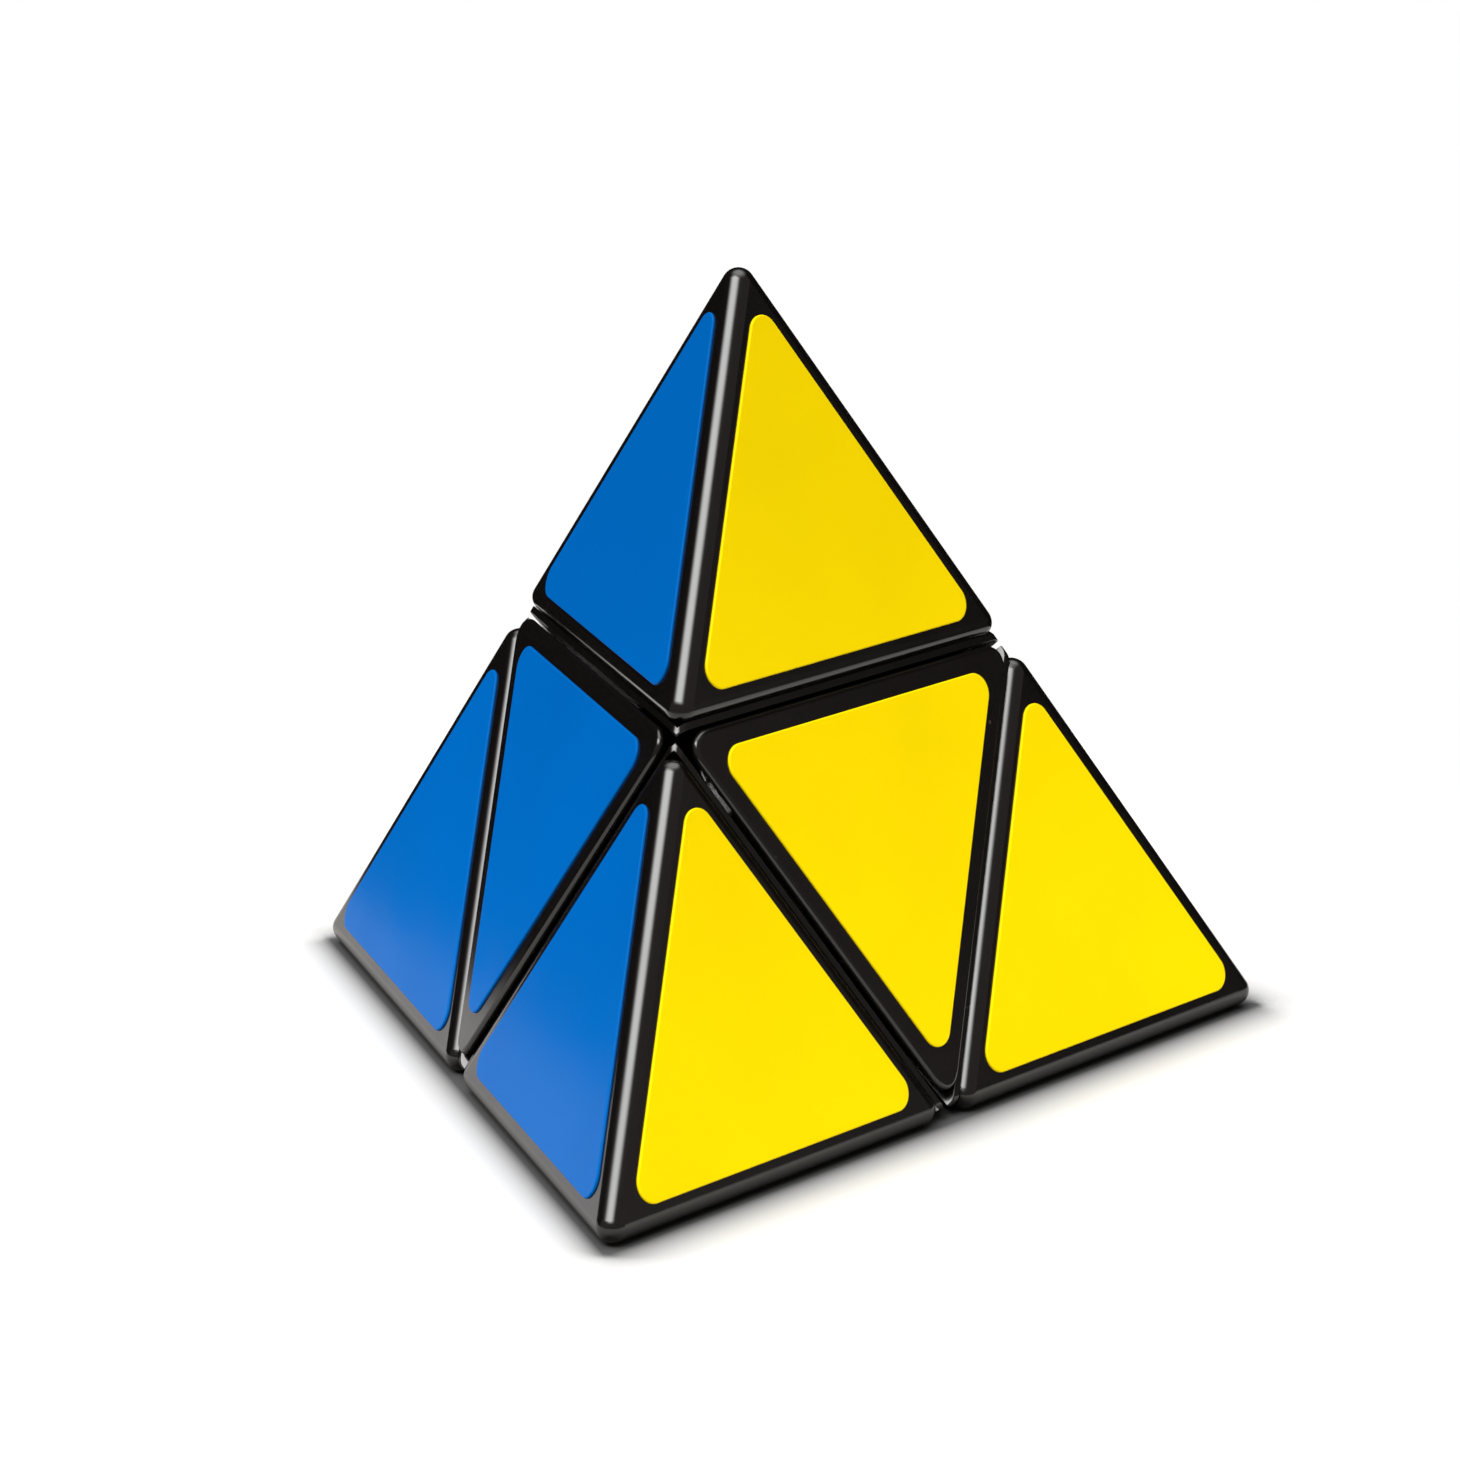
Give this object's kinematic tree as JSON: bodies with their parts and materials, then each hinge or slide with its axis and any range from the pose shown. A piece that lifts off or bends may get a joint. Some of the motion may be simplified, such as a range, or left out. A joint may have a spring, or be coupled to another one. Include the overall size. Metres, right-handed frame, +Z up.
{
  "type": "pyramid twisty puzzle",
  "caption": "Pyramid twisty puzzle: coloured stickers on black tips and wedges that turn in halves about three axes at right angles, on a ball mechanism.",
  "frame": {"origin": "centre of the bottom face, on the plane of its stickers, where the puzzle rests", "axes": "+Z up through the top tip, the front corner towards -Y, the yellow face to the front right and the blue face to the front left"},
  "size_m": [0.0754, 0.0657, 0.0623],
  "materials": {
    "black_plastic": "gloss",
    "mechanism_plastic": "satin",
    "core_plastic": "satin",
    "steel": "plated",
    "sticker_yellow": "gloss vinyl",
    "sticker_blue": "gloss vinyl",
    "sticker_red": "gloss vinyl",
    "sticker_green": "gloss vinyl"
  },
  "bodies": {
    "fixed_core": {"core": "core_plastic", "screws": "steel", "centre_fixed_front": "mechanism_plastic", "spring_front": "steel", "washer_front": "steel", "centre_fixed_right": "mechanism_plastic", "spring_right": "steel", "washer_right": "steel", "centre_fixed_left": "mechanism_plastic", "spring_left": "steel", "washer_left": "steel", "edge_low_low_mid": "mechanism_plastic", "edge_low_mid_low": "mechanism_plastic", "edge_mid_low_low": "mechanism_plastic", "shell_wedge_green": "black_plastic", "cap_wedge_green": "black_plastic", "sticker_green_middle": "sticker_green"},
    "front_half": {"shell_tip_front": "black_plastic", "cap_tip_front": "black_plastic", "sticker_yellow_front": "sticker_yellow", "sticker_blue_front": "sticker_blue", "sticker_green_front": "sticker_green", "centre_front": "mechanism_plastic", "edge_up_low_mid": "mechanism_plastic", "edge_up_mid_low": "mechanism_plastic"},
    "right_half": {"shell_tip_right": "black_plastic", "cap_tip_right": "black_plastic", "sticker_yellow_right": "sticker_yellow", "sticker_red_right": "sticker_red", "sticker_green_right": "sticker_green", "centre_right": "mechanism_plastic", "edge_low_up_mid": "mechanism_plastic", "edge_mid_up_low": "mechanism_plastic"},
    "left_half": {"shell_tip_left": "black_plastic", "cap_tip_left": "black_plastic", "sticker_blue_left": "sticker_blue", "sticker_red_left": "sticker_red", "sticker_green_left": "sticker_green", "centre_left": "mechanism_plastic", "edge_low_mid_up": "mechanism_plastic", "edge_mid_low_up": "mechanism_plastic"},
    "yellow_wedge": {"shell_wedge_yellow": "black_plastic", "cap_wedge_yellow": "black_plastic", "sticker_yellow_middle": "sticker_yellow", "edge_up_up_mid": "mechanism_plastic"},
    "blue_wedge": {"shell_wedge_blue": "black_plastic", "cap_wedge_blue": "black_plastic", "sticker_blue_middle": "sticker_blue", "edge_up_mid_up": "mechanism_plastic"},
    "red_wedge": {"shell_wedge_red": "black_plastic", "cap_wedge_red": "black_plastic", "sticker_red_middle": "sticker_red", "edge_mid_up_up": "mechanism_plastic"},
    "top_tip": {"shell_tip_apex": "black_plastic", "cap_tip_apex": "black_plastic", "sticker_yellow_apex": "sticker_yellow", "sticker_blue_apex": "sticker_blue", "sticker_red_apex": "sticker_red"}
  },
  "joints": [
    {"name": "turn_front", "type": "hinge", "parent": "fixed_core", "child": "front_half", "pos_m": [0, 0, 0.01633], "axis": [0, -0.8165, 0.5774], "continuous": true},
    {"name": "turn_right", "type": "hinge", "parent": "fixed_core", "child": "right_half", "pos_m": [0, 0, 0.01633], "axis": [0.7071, 0.4082, 0.5774], "range_deg": [-360, 360]},
    {"name": "turn_left", "type": "hinge", "parent": "fixed_core", "child": "left_half", "pos_m": [0, 0, 0.01633], "axis": [-0.7071, 0.4082, 0.5774], "range_deg": [-360, 360]},
    {"name": "turn_right_yellow", "type": "hinge", "parent": "front_half", "child": "yellow_wedge", "pos_m": [0, 0, 0.01633], "axis": [0.7071, 0.4082, 0.5774], "range_deg": [-360, 360]},
    {"name": "turn_left_blue", "type": "hinge", "parent": "front_half", "child": "blue_wedge", "pos_m": [0, 0, 0.01633], "axis": [-0.7071, 0.4082, 0.5774], "range_deg": [-360, 360]},
    {"name": "turn_left_red", "type": "hinge", "parent": "right_half", "child": "red_wedge", "pos_m": [0, 0, 0.01633], "axis": [-0.7071, 0.4082, 0.5774], "range_deg": [-360, 360]},
    {"name": "turn_left_top", "type": "hinge", "parent": "yellow_wedge", "child": "top_tip", "pos_m": [0, 0, 0.01633], "axis": [-0.7071, 0.4082, 0.5774], "range_deg": [-360, 360]}
  ],
  "couplings": [
    {"joint": "turn_right_yellow", "follows": "turn_right", "ratio": 1},
    {"joint": "turn_left_blue", "follows": "turn_left", "ratio": 1},
    {"joint": "turn_left_red", "follows": "turn_left", "ratio": 1},
    {"joint": "turn_left_top", "follows": "turn_left", "ratio": 1}
  ]
}
